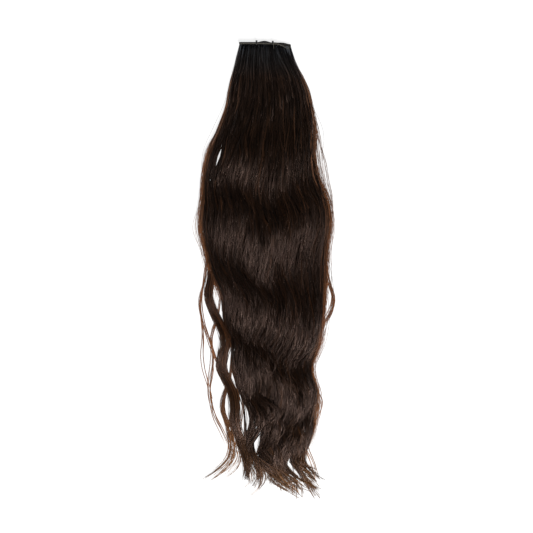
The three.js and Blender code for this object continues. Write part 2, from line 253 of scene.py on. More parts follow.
def dyed_hair(name, gloss, smooth, rough):
    """Two colour runs from root to tip, mixed by the strand's tone, and a gloss that varies along it."""
    hair, tree, output = new_finish(name)
    along = add_node(tree, "ShaderNodeUVMap", uv_map="StrandUV")
    split = add_node(tree, "ShaderNodeSeparateXYZ", {"Vector": along.outputs["UV"]})
    deep = add_node(tree, "ShaderNodeValToRGB", {"Fac": split.outputs["Y"]})
    set_stops(deep, DEEP_TONES)
    light = add_node(tree, "ShaderNodeValToRGB", {"Fac": split.outputs["Y"]})
    set_stops(light, LIGHT_TONES)
    own = add_node(tree, "ShaderNodeUVMap", uv_map="WispUV")
    patches = add_node(tree, "ShaderNodeMapping", {"Vector": own.outputs["UV"]},
                       {"Scale": (1.0, HAIR_LENGTH / PATCH_MM, 1.0)})
    noise = add_node(tree, "ShaderNodeTexNoise", {"Vector": patches.outputs["Vector"]},
                     {"Scale": 1.0, "Detail": 2.0})
    shades = add_node(tree, "ShaderNodeSeparateColor", {"Color": noise.outputs["Color"]})
    patch = add_node(tree, "ShaderNodeMapRange", {"Value": shades.outputs["Red"]},
                     {"From Min": 0.35, "From Max": 0.65, "To Min": -PATCH_TONE, "To Max": PATCH_TONE})
    tone = add_node(tree, "ShaderNodeMath", {0: split.outputs["X"], 1: patch.outputs["Result"]},
                    operation="ADD", use_clamp=True)
    mixed = add_node(tree, "ShaderNodeMix", {"Factor": tone.outputs["Value"], "A": deep.outputs["Color"],
                                             "B": light.outputs["Color"]}, data_type="RGBA")
    cuticle = add_node(tree, "ShaderNodeMapRange", {"Value": shades.outputs["Green"]},
                       {"From Min": 0.36, "From Max": 0.64, "To Min": smooth, "To Max": rough})
    shader = add_node(tree, "ShaderNodeBsdfPrincipled",
                      {"Base Color": mixed.outputs["Result"], "Roughness": cuticle.outputs["Result"]},
                      {"IOR": HAIR_IOR, "Specular IOR Level": gloss, "Specular Tint": linear(GLOSS_TINT)})
    tree.links.new(shader.outputs["BSDF"], output.inputs["Surface"])
    return hair


HAIR = dyed_hair("dyed_human_hair", gloss=0.5, smooth=0.3, rough=0.46)
# Painted shade: the packed finish is dark and nearly without gloss, for hair that lies deep in the fall.
PACKED_HAIR_IN_SHADE = dyed_hair("dyed_human_hair_packed_in_shade", gloss=0.08, smooth=0.75, rough=0.85)
print("hair finishes:", HAIR.name, PACKED_HAIR_IN_SHADE.name)

# %% [markdown]
# Every strand is a thin tapering tube. A curve object with a bevel could make one, but thousands are
# built faster at once: the centre lines are one array of shape (strands, steps, 3), the corners of each
# section are added around them, and the faces are index arithmetic. A third map, OFBake, gives each side
# of each strand its own strip of a picture, so that the colours can be baked.

# %% Tubes along many centre lines at once
STRAND_SIDES = 3


def tube_corners(centres, radii, sides, across=(0.0, 0.0, 1.0)):
    """Points round each centre line: radius * (cos * side + sin * up), with side and up square to it."""
    along = np.gradient(centres, axis=1)
    along /= np.linalg.norm(along, axis=-1, keepdims=True)
    side = np.cross(along, across)
    side /= np.linalg.norm(side, axis=-1, keepdims=True)
    up = np.cross(side, along)
    turn = 2 * np.pi * np.arange(sides) / sides + np.pi / 2
    ring = np.cos(turn)[:, None] * side[:, :, None] + np.sin(turn)[:, None] * up[:, :, None]
    return centres[:, :, None] + radii[:, :, None, None] * ring


def ring_quads(corner):
    """Quads between each row of corners and the next, from a function of (rows on, columns on)."""
    return np.stack([corner(0, 0), corner(1, 0), corner(1, 1), corner(0, 1)], axis=-1).reshape(-1, 4)


def tube_faces(count, steps, sides):
    """Corner numbers of the side quads and of the two end caps of each tube."""
    tube, step, side = np.meshgrid(np.arange(count), np.arange(steps - 1), np.arange(sides), indexing="ij")
    quads = ring_quads(lambda on, round_by: (tube * steps + step + on) * sides + (side + round_by) % sides)
    first = np.arange(count)[:, None] * steps * sides + np.arange(sides)
    last = first[:, ::-1] + (steps - 1) * sides
    return quads, np.concatenate([first, last])


def corner_places(count, steps, sides):
    """For each corner of each face: its tube, its step along the tube, and how many sides round it lies."""
    quads, caps = tube_faces(count, steps, sides)
    corners = np.concatenate([quads.ravel(), caps.ravel()])
    around = np.tile(np.repeat(np.arange(sides), 4), count * (steps - 1))
    around = around + np.tile((0, 0, 1, 1), len(quads))
    around = np.concatenate([around, np.tile(np.arange(sides), 2 * count)])
    return corners // (steps * sides), corners // sides % steps, around


print("a strand of 41 steps has", len(tube_faces(1, 41, STRAND_SIDES)[0]), "side faces")

# %% The three maps of a strand
BAKE_ROWS = 4
BAKE_MARGIN_ALONG, BAKE_MARGIN_ASIDE, CAP_SLIVER = 0.05, 0.1, 0.04


def strand_maps(tones, looks, shares):
    """Corner values: StrandUV (tone, place), WispUV (own number, place), OFBake (a strip for each side)."""
    count, steps = shares.shape
    tones = np.clip(np.broadcast_to(tones, shares.shape), 0, 1)
    tube, step, around = corner_places(count, steps, STRAND_SIDES)
    place = shares[tube, step]
    columns = int(np.ceil(count / BAKE_ROWS))
    caps = 2 * count * STRAND_SIDES
    height = BAKE_MARGIN_ALONG + (1 - 2 * BAKE_MARGIN_ALONG) * step / (steps - 1)
    height[-caps:] = np.concatenate([np.tile((0.0, CAP_SLIVER, 0.0), count),
                                     np.tile((1.0, 1.0 - CAP_SLIVER, 1.0), count)])
    aside = BAKE_MARGIN_ASIDE + (1 - 2 * BAKE_MARGIN_ASIDE) * around / STRAND_SIDES
    bake = np.stack([(tube % columns + aside) / columns, (tube // columns + height) / BAKE_ROWS], axis=-1)
    return {"StrandUV": np.stack([tones[tube, step], place], axis=-1),
            "WispUV": np.stack([looks[tube], place], axis=-1), "OFBake": bake}


print("maps of a strand:", list(strand_maps(np.zeros((1, 1)), np.zeros(1), np.zeros((1, 3)))))

# %% [markdown]
# Blender keeps a mesh as long flat lists: the places of its points, the points at the corners of all
# faces one after the other, and where in that list each face starts. Faces could be added one by one,
# but foreach_set fills a whole list from a numpy array at once, which suits hair with thousands of
# strands. Every piece of this part is made by the one function here, so each of them also rides on the
# root body and hides the solid that it takes the place of.

# %% Putting arrays into a mesh


def make_piece(name, points, face_groups, maps, finish, node):
    """Puts points, faces and maps into a new mesh, which rides on the root body and hides the solid it
    stands in for.
    """
    mesh = bpy.data.meshes.new(name)
    sizes = np.concatenate([np.full(len(faces), faces.shape[1]) for faces in face_groups])
    corners = np.concatenate([faces.ravel() for faces in face_groups]).astype(np.int32)
    mesh.vertices.add(points.size // 3)
    mesh.vertices.foreach_set("co", points.astype(np.float32).ravel())
    mesh.loops.add(len(corners))
    mesh.loops.foreach_set("vertex_index", corners)
    mesh.polygons.add(len(sizes))
    mesh.polygons.foreach_set("loop_start", (np.cumsum(sizes) - sizes).astype(np.int32))
    mesh.polygons.foreach_set("use_smooth", np.ones(len(sizes), bool))
    for map_name, values in maps.items():
        mesh.uv_layers.new(name=map_name).uv.foreach_set("vector", values.astype(np.float32).ravel())
    mesh.update(calc_edges=True)
    mesh.validate()
    mesh.materials.append(finish)
    piece = bpy.data.objects.new(name, mesh)
    bpy.context.scene.collection.objects.link(piece)
    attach(piece, "root")
    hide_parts(node)
    print(name, "triangles:", int((sizes - 2).sum()))
    return piece


def make_strands(name, x, down, z, radii, tones, looks):
    """A piece of hair from centre lines in millimetres, one row for each strand, standing for the fall."""
    corners = tube_corners(in_frame(x, down, z), MM * radii, STRAND_SIDES)
    maps = strand_maps(tones, looks, np.clip(down / HAIR_LENGTH, 0, 1))
    faces = tube_faces(*down.shape, STRAND_SIDES)
    return make_piece(name, corners, faces, maps, HAIR, "hair_fall")


def closed_grid(rows, columns):
    """Faces over a grid whose columns close into a ring, with one cap at each end of the rows."""
    row, column = np.meshgrid(np.arange(rows - 1), np.arange(columns), indexing="ij")
    quads = ring_quads(lambda on, round_by: (row + on) * columns + (column + round_by) % columns)
    caps = np.stack([np.arange(columns), np.arange(columns)[::-1] + (rows - 1) * columns])
    return quads, caps


print("a grid of 3 rows and 4 columns has", len(closed_grid(3, 4)[0]), "side faces and 2 caps")

# %% [markdown]
# Under the strands that show there are many thousand more. Drawing them all would be slow and nobody
# would see them, so the inside of the fall is one closed dark form, a little smaller than the hair, with
# the ridges of its locks. Its finish is dark and almost without gloss: painted shade for the hair that
# lies deep in the fall. It keeps clear of the slit in the upper left and of the loose tips, where the
# light comes through.

# %% The imported hair inside the fall
CORE_SHARE, CORE_LIFT = 0.78, 0.3
CORE_FIRST, CORE_LAST = 0.03, 0.975
SLIT_INSET, FIRST_INSET, LAST_INSET, POINT_INSET = 0.13, 0.23, 0.125, 0.2
CORE_END = 506.0
CORE_NARROWS, CORE_POINTS, CORE_THINS = (420, 475), (480, CORE_END), (380, CORE_END)
CORE_GRID = (100, 96)
SLIT_PLACE, SLIT_HALF_LENGTH = 136, 26
GROOVE_DEPTH, GROOVE_GROWS = 0.14, (0, 40)
THINNED_BY, EDGE_POWER = 0.8, 8
PACKED_SHADE_TONE, PACKED_LOOKS = 0.02, 40.0


def packed_core():
    """A closed grid: across the top of the fall at a share of its height, rounded at both sides by
    sqrt(1 - s^8), then back along its underside."""
    steps, around = CORE_GRID
    down = np.linspace(0.3, CORE_END, steps)[:, None]
    narrow = ramp(*CORE_NARROWS, down)
    first = CORE_FIRST + SLIT_INSET * bell(SLIT_PLACE, SLIT_HALF_LENGTH, down) + FIRST_INSET * narrow
    last = CORE_LAST - LAST_INSET * narrow - POINT_INSET * ramp(*CORE_POINTS, down)
    across = blend(first, last, np.linspace(0, 1, around)[None, :])
    x, height, _ = fall_at(down, across)
    ridges = 0.5 + 0.5 * np.cos(2 * np.pi * len(LOCKS) * across)
    groove = GROOVE_DEPTH * ridges * ramp(*GROOVE_GROWS, down)
    thin = 1 - THINNED_BY * ramp(*CORE_THINS, down)
    round_off = np.sqrt(1 - np.abs(np.linspace(-0.995, 0.995, around)) ** EDGE_POWER)[None, :]
    top = in_frame(x, down, CORE_LIFT + height * (CORE_SHARE - groove) * thin * round_off)
    under = in_frame(x[:, ::-1], down, CORE_LIFT)
    ring = np.concatenate([top, under], axis=1)
    quads, caps = closed_grid(*ring.shape[:2])
    corners = np.concatenate([quads.ravel(), caps.ravel()])
    place = corners // ring.shape[1] / steps * CORE_END / HAIR_LENGTH
    tone = np.stack([np.full(len(corners), PACKED_SHADE_TONE), place], axis=-1)
    look = np.stack([PACKED_LOOKS * (corners % ring.shape[1]) / around, place], axis=-1)
    maps = {"StrandUV": tone, "WispUV": look}
    return make_piece("packed_hair_core", ring, (quads, caps), maps, PACKED_HAIR_IN_SHADE, "hair_fall")


packed_core()

# %% [markdown]
# The strands that show grow in clumps, because natural oils and the set of the wave hold neighbours
# together, and a clump is made of finer wisps. A real hair is 0.07 mm thick, far too fine to draw at this
# scale, so a strand here is about seven times as thick and stands for a few dozen hairs. Blender's hair
# curves could grow them, but plain arrays keep every strand where the form of the fall wants it. All
# chance comes from one seeded generator, so the hair is the same on every run.

# %% Steps, swings and numbers of strands
STRAND_STEPS = 41
STRAND_RADIUS, FINE_RADIUS = 0.25, 0.18
TIP_TAPER = 0.4
WISP_SPREAD, STRAND_SPREAD = 400.0, 0.7
random = np.random.default_rng(22)


def spaced_steps(starts, ends):
    """Places down each strand: wider apart near the root, closer in the tighter waves near the tip."""
    t = np.linspace(0, 1, STRAND_STEPS)[None, :]
    return blend(starts[:, None], ends[:, None], t * (1.4 - 0.4 * t))


def near_tip(down, ends, length, rest=0.0):
    """A smooth step that starts a length before each strand's end and is full a rest before it."""
    return ramp(ends[:, None] - length, ends[:, None] - rest, down)


def swung(down, reaches, member, shortest, longest):
    """Swings along strands: reach * sin(2 pi (down / length + phase)), one length and phase a group."""
    lengths = random.uniform(shortest, longest, len(reaches))[member][:, None]
    phases = random.uniform(0, 1, len(reaches))[member][:, None]
    return reaches[member][:, None] * np.sin(2 * np.pi * (down / lengths + phases))


def strand_radii(count, thickness):
    """Radius along each strand: even, then tapering over the last tenth to a cut tip."""
    taper = 1 - TIP_TAPER * ramp(0.9, 1.0, np.linspace(0, 1, STRAND_STEPS))
    return thickness * random.uniform(0.75, 1.3, count)[:, None] * taper[None, :]


def own_numbers(groups, members):
    """A number for each strand: far apart between wisps, and less than one apart inside a wisp."""
    between = random.uniform(0, WISP_SPREAD, groups).repeat(members)
    return between + random.uniform(0, STRAND_SPREAD, groups * members)


print("steps of a strand to 500 mm:", np.round(spaced_steps(np.zeros(1), np.full(1, 500.0))[0, ::8]))

# %% Ripples of the wave, and partings
RIPPLES = [  # lag, waves across, wave length down, phase
    (10, 1.7, 260, 0.0), (4, 3.4, -230, 0.3),
]
RIPPLES_GROW = (60, 200)
PARTINGS = [  # down, across, half length, half width of each gap that opens between strands
    (136, 0.10, 14, 1.7), (449, 0.02, 18, 2.4), (479, 0.21, 18, 4.0), (507, 0.84, 15, 3.4),
]
PARTING_FADES = 1.4


def wave_lag(down, across):
    """How late the wave comes, in millimetres: lag * sin(2 pi (waves * across + down / length + phase)),
    summed over the ripples, so that the bands of the wave are broken as in real hair."""
    late = sum(lag * np.sin(2 * np.pi * (waves * across + down / length + phase))
               for lag, waves, length, phase in RIPPLES)
    return ramp(*RIPPLES_GROW, down) * late


def parted(x, down):
    """Opens the partings: a strand d aside moves to d/2 + sqrt(d^2/4 + h^2), with h a bell down each."""
    for place, middle, half_length, half_width in PARTINGS:
        aside = x - fall_at(down, middle)[0]
        nearest = np.abs(down - place).argmin(axis=1)
        side = np.where(aside[np.arange(len(x)), nearest] < 0, -1.0, 1.0)[:, None]
        fade = np.exp(-(((down - place) / half_length / PARTING_FADES) ** 4))
        half = half_width * bell(place, half_length, down)
        x = x + side * fade * (np.sqrt(aside**2 / 4 + half**2) - side * aside / 2)
    return x


print("partings:", len(PARTINGS), "lag in the middle at 300 mm:", round(float(wave_lag(300.0, 0.5)), 1))

# %% [markdown]
# The band's folded layers decide where the strands begin, so its measurements come before them. The band
# is a strip 2.4 mm high that runs to and fro in five layers. At the left its layers lie level, between
# the ties one layer arches up, and at the right the top layers droop over the hair.

# %% The measurements of the folded band
BAND_HEIGHT, BAND_THICKNESS = 2.4, 0.9
FOLD_PITCH, FOLD_HALF_WIDTH = 1.55, 30.0
BAND_UNDERSIDE = 1.3
BAND_LAYERS = [  # left lift, arch, right lift: of each layer, from the lowest up
    (1.4, 1.0, 0.6), (1.0, 0.4, 0.3), (1.2, 1.7, 0.5), (0.9, 0.3, -1.8), (0.7, 0.0, -4.2),
]
LIFT_KEPT = 0.4
END_DROP, END_DROPS = 2.0, (20, 31)
TIE_PLACES = {"left": -10.2, "right": 9.4}


def band_lift(layer, x):
    """How far a layer's lower edge lies above the band's line: left lift, plus arch, plus right drop."""
    lift_left, arch, lift_right = BAND_LAYERS[layer]
    left_tie, right_tie = TIE_PLACES["left"], TIE_PLACES["right"]
    across = np.clip((x - left_tie) / (right_tie - left_tie), 0, 1)
    drop = (lift_right - LIFT_KEPT * lift_left) * ramp(right_tie + 2, FOLD_HALF_WIDTH, x)
    drop = drop - END_DROP * ramp(*END_DROPS, x)
    return lift_left * (1 - (1 - LIFT_KEPT) * across) + arch * np.sin(np.pi * across) ** 2 + drop


print("drop of the top layer at the right end, mm:", round(float(band_lift(4, 30.0)), 2))

# %% How the roots leave the band
LOWEST_ROOT = -3.0
ROOT_SHARE, ROOT_RISES = 0.72, (0, 16)
DRAWN_PLACE, DRAWN_HALF_WIDTH, DRAWN_BY, DRAWN_FADES = 17, 7, 6, (0, 50)
TUFT_HEIGHT, TUFTS_GROW, TUFTS_FADE = 2.0, (3, 12), (40, 90)
TUFT_SIZES = [(17, 70), (47, 23)]  # wave lengths of two sines, sideways and down
TUFT_PHASE = 0.7


def root_starts(across):
    """Where strands begin: a little inside the lowest edge of the band, or under its drooping end."""
    x = blend(OUTLINE[0, 1], OUTLINE[0, 2], np.clip(across, 0.02, 0.98))
    lowest = np.min([band_lift(layer, x) for layer in range(len(BAND_LAYERS))], axis=0)
    return -np.maximum(lowest, LOWEST_ROOT) - random.uniform(0.2, 1.2, len(x))


def under_band(z, down):
    """Keeps roots below the top of the band: they rise from a share of their height to all of it."""
    return z * blend(ROOT_SHARE, 1.0, ramp(*ROOT_RISES, down))


def gathered(x, down):
    """Draws the strands right of the right tie up to 6 mm towards it, less and less over 50 mm."""
    return x - DRAWN_BY * bell(DRAWN_PLACE, DRAWN_HALF_WIDTH, x) * (1 - ramp(*DRAWN_FADES, down))


def root_tufts(x, down):
    """Shallow tufts of the roots: two slow sines multiplied, 2 mm high at most and gone by 90 mm."""
    wide, narrow = [2 * np.pi * (x / aside + down / along) for aside, along in TUFT_SIZES]
    tufts = np.sin(wide) * np.sin(narrow + TUFT_PHASE)
    return TUFT_HEIGHT * tufts * ramp(*TUFTS_GROW, down) * (1 - ramp(*TUFTS_FADE, down))


print("roots drawn aside by up to", DRAWN_BY, "mm, in tufts up to", TUFT_HEIGHT, "mm high")

# %% [markdown]
# Real waves are uneven. A hump catches the light where the even wave would be dark, and a hollow is dark
# where it would shine, so four broad bells lift or sink the strands a few millimetres at the places where
# the real hair shows it.

# %% Humps and hollows
SWELLS = [  # down, across, half length, half width, height
    (132, 0.33, 15, 16, 3.4), (156, 0.71, 15, 14, -3.4),
    (251, 0.58, 12, 9, -4.5), (240, 0.775, 12, 9, -4.5),
]


def swells(x, down):
    """Humps and hollows of the fall: for each row height * a bell along * a bell aside."""
    total = np.zeros_like(x)
    for place, across, half_length, half_width, height in SWELLS:
        middle = float(fall_at(place, across)[0])
        total += height * bell(place, half_length, down) * bell(middle, half_width, x)
    return total


print("humps and hollows:", len(SWELLS))

# %% [markdown]
# The strands of the main fall are worked out in five short steps, all strands at once: where they end,
# where they run across the fall, how they wave and flick, how high they lie, and how light they are. Each
# clump has its own small delay in the wave, its own wander and its own end, each wisp lies a little
# higher or lower and is a little lighter or darker, and each strand has a place in its wisp.

# %% Clumps, wisps and their ends
CLUMPS, WISPS, STRANDS = 90, 4, 6  # clumps, wisps in each of them, and strands in each wisp
LOCK_TIP, LOCK_POINT = 8, 22
# How much shorter some of them are: the shape of a gamma spread, and its scale in millimetres.
CLUMP_SHORTER, WISP_SHORTER, STRAND_SHORTER = (1.3, 4.0), (1.1, 6.0), (1.0, 4.0)
wisps = CLUMPS * WISPS
wisp = np.repeat(np.arange(wisps), STRANDS)
clump = wisp // WISPS
count = len(wisp)


def per_clump(values):
    """A column with each strand's clump value."""
    return values[clump][:, None]


def per_wisp(values):
    """A column with each strand's wisp value."""
    return values[wisp][:, None]


# A lock is pointed: its side clumps end earlier, by the square of their distance from its middle.
centre = (np.arange(CLUMPS) + random.uniform(0.1, 0.9, CLUMPS)) / CLUMPS
lock = np.minimum((centre * len(LOCKS)).astype(int), len(LOCKS) - 1)
lock_end, lock_flick = LOCKS[lock].T
from_middle = 2 * (centre * len(LOCKS) % 1) - 1
clump_end = lock_end + LOCK_TIP - LOCK_POINT * from_middle**2 - random.gamma(*CLUMP_SHORTER, CLUMPS)
clump_flick = lock_flick * random.uniform(0.7, 1.3, CLUMPS) + random.normal(0, 2.5, CLUMPS)
ends = clump_end[clump] - random.gamma(*WISP_SHORTER, wisps)[wisp] - random.gamma(*STRAND_SHORTER, count)
down = spaced_steps(root_starts(centre[clump]), ends)
print("strands:", count, "in", wisps, "wisps, ending at", round(ends.min()), "to", round(ends.max()))

# %% Places across the fall
COMES_FREE, LOCKS_FORM = (0, 120), (240, 400)
TIP_LENGTH, DRAW_LENGTH = 80, 60
FORM_SHARE, DRAW_SHARE, TIP_CLOSENESS = 0.35, 0.5, 0.8
WISP_RADIUS = 0.8
left, right, _ = outline_at(down)
width = np.maximum(right - left, 1.0)
free = ramp(*COMES_FREE, down)
tip = near_tip(down, ends, TIP_LENGTH)
drawn = FORM_SHARE * ramp(*LOCKS_FORM, down) + DRAW_SHARE * near_tip(down, ends, DRAW_LENGTH)
home = blend(per_clump(centre), per_clump((lock + 0.5) / len(LOCKS)), drawn)
angle = random.uniform(0, 2 * np.pi, count)
reach = np.sqrt(random.uniform(0, 1, count))
wisp_place = random.uniform(-1, 1, wisps) * random.uniform(2.5, 7.0, CLUMPS).repeat(WISPS)
gather = (0.5 + 0.5 * free) * (1 - TIP_CLOSENESS * tip)
aside = per_wisp(wisp_place) + WISP_RADIUS * (reach * np.cos(angle))[:, None]
# A strand that would leave at an edge is folded back in: |a| at the left, 1 - |1 - a| at the right.
across = np.abs(home + aside * gather / width)
across = 1 - np.abs(1 - across)
print("across the fall from", round(across.min(), 3), "to", round(across.max(), 3))

# %% Waves, wander and flicks
FLICK_LENGTH = 48
CLUMP_LAG, WISP_LAG, LOCK_LAG, EARLIER = 3.0, 3.5, 6.0, 7
LOCK_LAG_GROWS, EARLIER_GROWS, LAG_GROWS = (180, 340), (240, 340), (-100, 300)
LOWER_SWING, SWING_GROWS = 0.9, (220, 380)
HOLD_POWER, LEAST_HOLD = 6, 0.15
lag = wave_lag(down, home) + per_clump(random.normal(0, CLUMP_LAG, CLUMPS))
lag += per_wisp(random.normal(0, WISP_LAG, wisps))
lock_lag = random.normal(0, LOCK_LAG, len(LOCKS))[lock[clump]][:, None]
lag += lock_lag * ramp(*LOCK_LAG_GROWS, down) - EARLIER * ramp(*EARLIER_GROWS, down)
swing = per_clump(random.uniform(0.6, 1.5, CLUMPS)) * per_wisp(random.uniform(0.7, 1.3, wisps))
swing = swing * (1 + LOWER_SWING * ramp(*SWING_GROWS, down))
x, height, _ = fall_at(down, across, lag * ramp(*LAG_GROWS, down), swing)
# Clumps swing widest and slowest, then wisps, then single strands, and all of them less at the edges.
# Their reaches, and the shortest and longest of their waves, are in millimetres.
hold = np.sqrt(np.clip(1 - np.abs(2 * home - 1) ** HOLD_POWER, LEAST_HOLD, 1))
wander = swung(down, random.uniform(0.5, 2.6, CLUMPS), clump, 110, 210)
wander += swung(down, random.gamma(2.0, 0.7, wisps), wisp, 75, 160)
wander += swung(down, random.gamma(1.5, 0.3, count), np.arange(count), 60, 130)
x = x + free * hold * wander
bend = np.clip(1 + (down - per_clump(clump_end)) / FLICK_LENGTH, 0, 1) ** 2
curl = per_clump(random.normal(0, 2.0, CLUMPS)) + per_wisp(random.normal(0, 1.5, wisps))
x = parted(gathered(x, down) + per_clump(clump_flick) * bend + curl * tip**3, down)
print("sideways from", round(x.min(), 1), "to", round(x.max(), 1), "mm")

# %% Heights
STRAND_LEVEL, SIDE_CLUMPS = 0.89, 0.74
VALLEY_DEPTH, VALLEYS_GROW = 0.24, (200, 360)
BOUNCE_GROWS, BOUNCE_FADES, CLUMP_BOUNCE_FADES = (4, 20), (110, 200), (50, 110)
ROOT_BUMP = (5, 5)  # the middle and half length of a bell
LEVEL_SWING, HIGHEST_BOUNCE = 0.05, 3.5
LOWEST_STRAND = 0.4
valley = np.abs(2 * (home * len(LOCKS) % 1) - 1) ** 2 * ramp(*VALLEYS_GROW, down)
low_edge = per_wisp(random.uniform(0.35, 1.0, wisps))
level = STRAND_LEVEL + per_clump(random.uniform(-0.06, 0.06, CLUMPS))
level = level + per_wisp(random.uniform(-0.07, 0.07, wisps))
level = np.where(per_clump(np.abs(2 * centre - 1)) > SIDE_CLUMPS, low_edge, level)
level = level + swung(down, np.full(wisps, LEVEL_SWING), wisp, 120, 260)
bounce = swung(down, random.gamma(2.0, 0.8, wisps), wisp, 60, 110)
clump_bounce = swung(down, np.minimum(random.gamma(2.0, 1.5, CLUMPS), HIGHEST_BOUNCE), clump, 50, 90)
bounce += clump_bounce * (1 - 0.6 * ramp(*CLUMP_BOUNCE_FADES, down))
bounce *= ramp(*BOUNCE_GROWS, down) * (1 - 0.7 * ramp(*BOUNCE_FADES, down))
z = height * (level - VALLEY_DEPTH * valley) + WISP_RADIUS * (reach * np.sin(angle))[:, None] * gather
bump = per_clump(random.gamma(1.2, 1.0, CLUMPS)) * bell(*ROOT_BUMP, down)
tufts = per_wisp(random.uniform(0.3, 1.5, wisps)) * root_tufts(x, down)
z = np.maximum(under_band(z + bounce, down) + bump + tufts + swells(x, down), LOWEST_STRAND)
print("highest strand, mm:", round(z.max(), 1))

# %% Tones
FADED_BY, FADE_DOWN = 0.6, (150, 260)
ROOT_DARKNESS, ROOTS_DARK = 0.45, (20, 60)
RIM_TOP, RIM_LOW, RIM_CHANGES = 0.945, 0.97, (90, 170)
RIM_STRENGTH, RIM_STARTS = 3.2, (8, 30)
LEFT_RIM_FADED_BY, LEFT_RIM_FADES = 0.6, (230, 280)
WORN_AND_LIT_TIP, FRAYED_AND_LIT_TIP, FRAYED_AND_LIT_REST, FRAYED_AND_LIT_TONE = 34, 14, 2, 0.18
ROOT_SHEEN_PATCHES, LIGHTEST_SHEEN_PATCH = (26, 24), 0.3
GLOSS_TONE = 0.4
ROOT_GLOSS = [(0.6, 2, 9), (2.0, 1, 4)]  # strength, middle, half length
# A few wisps are much lighter than the rest, more of them in the upper half.
tones = random.gamma(2.0, 0.003, CLUMPS)[clump] + random.gamma(0.35, 0.085, wisps)[wisp]
tones = (tones + random.gamma(0.3, 0.03, count))[:, None] * (1 - FADED_BY * ramp(*FADE_DOWN, down))
tones = tones * blend(ROOT_DARKNESS, 1.0, ramp(*ROOTS_DARK, down))
# The outermost strands are painted lighter and warmer, most of all near the band: painted light for the
# light that comes through thin hair at the edges.
outer = np.where(across < 0.5, 1 - LEFT_RIM_FADED_BY * ramp(*LEFT_RIM_FADES, down), 1.0)
outer *= ramp(*RIM_STARTS, down) * blend(RIM_STRENGTH, 1.0, ramp(*RIM_CHANGES, down))
rim = ramp(blend(RIM_TOP, RIM_LOW, ramp(*RIM_CHANGES, down)), 1.0, np.abs(2 * across - 1))
tones += random.gamma(0.6, 0.3, count)[:, None] * rim * outer
# The ends are lighter: partly worn, partly painted light for the light that comes through thin ends.
# The roots get painted highlights in patches, brightest where they leave the band.
tones += per_wisp(random.gamma(0.5, 0.2, wisps)) * near_tip(down, ends, WORN_AND_LIT_TIP)
# Painted highlight: lighter patches along the roots, and a lighter stretch just under the band, stand in
# for the sheen of the roots.
patch = 0.5 + swung(down, np.full(wisps, 0.5), wisp, 16, 30)
sheen_patch_tone = per_wisp(np.minimum(random.gamma(0.6, 0.18, wisps), LIGHTEST_SHEEN_PATCH))
tones += sheen_patch_tone * patch * bell(*ROOT_SHEEN_PATCHES, down)
tones += FRAYED_AND_LIT_TONE * low_edge * near_tip(down, ends, FRAYED_AND_LIT_TIP, FRAYED_AND_LIT_REST)
near_band = sum(strength * bell(middle, half_length, down) for strength, middle, half_length in ROOT_GLOSS)
tones += GLOSS_TONE * low_edge**3 * near_band * (0.2 + 1.3 * patch)
print("tones: middle", round(np.median(tones), 3), "lightest", round(tones.max(), 2))

# %% Three pieces of strands
PIECES = 3
looks = own_numbers(wisps, STRANDS)
fall_lines = (x, down, z, strand_radii(count, STRAND_RADIUS), tones, looks)
for number in range(PIECES):
    make_strands(f"fall_strands_{number + 1}", *[values[number::PIECES] for values in fall_lines])

# %% [markdown]
# Some locks leave the fall and lie beside it: a thick one on the left, thin ones on both sides, and the
# curls at the tips. Each of their strands runs with the edge of the fall first and then peels off along
# the lock's own way. Thin locks cling together in bundles of five strands, and they look browner, because
# the light comes through them.

# %% The ways of the loose locks
LOOSE_LOCKS = [  # width, height, strands, then the places that it passes: how far down, how far aside
    (13.5, 10, 190, (262, 281, 301, 325, 340, 358, 375, 391, 403, 420, 435, 454, 475, 495, 510, 524),
     (-64, -65, -68, -60, -52, -46.5, -51, -52, -46, -38, -36, -36, -30, -24, -21, -24)),
    (4.5, 3, 35, (262, 283, 310, 331, 358, 383, 405), (-70, -73, -78, -76, -66, -57, -46)),
    (4, 2.6, 20, (262, 283, 310, 335, 357, 373, 390, 409, 427),
     (-70, -73, -78, -76, -74.5, -75, -73, -68, -64)),
    (5, 2.6, 35, (328, 340, 355, 371, 391, 409, 427, 447, 466, 485),
     (-58, -62, -65, -63, -64, -67, -66, -61, -51, -42)),
    (8.5, 4, 65, (400, 411, 427, 441, 455, 470, 485), (-43, -46, -51, -52, -47, -43, -40)),
    (9, 2.6, 40, (456, 480, 496, 508, 516, 523), (-46, -41, -43, -53, -63, -74)),
    (9, 2.6, 40, (456, 485, 500, 512, 519, 526), (-42, -37, -39, -48, -57, -67)),
    (7, 2.6, 22, (462, 490, 506, 516, 523), (-32, -31, -35, -44, -55)),
    (5.5, 3, 45, (262, 283, 307, 322, 337, 350), (73, 75.5, 82, 79, 70, 63)),
    (3.5, 2.6, 8, (402, 417, 429, 441, 455, 468), (58, 64, 70, 68, 60, 53)),
    (2.5, 2.2, 10, (495, 519, 526, 533), (-24, -15, -15, -24)),
    (2.5, 2.2, 10, (505, 523, 532, 545), (-6, -2, -5, -19)),
    (6, 2, 18, (465, 485, 503, 526), (50, 51, 58, 63.5)),
]
print("loose locks:", len(LOOSE_LOCKS), "with", sum(row[2] for row in LOOSE_LOCKS), "strands")

# %% Strands of the loose locks
BUNDLE, THICK_LOCK = 5, 12
THIN_WIDTHS, FINE_WIDTHS = (8, 14), (4, 8)
PEEL_BEFORE, PEEL_AFTER = 50, 12
LOOSE_DARK, LOOSE_FADES, LOOSE_TIP = (20, 60), (400, 470), 60
LOWEST_LOOSE = 0.35


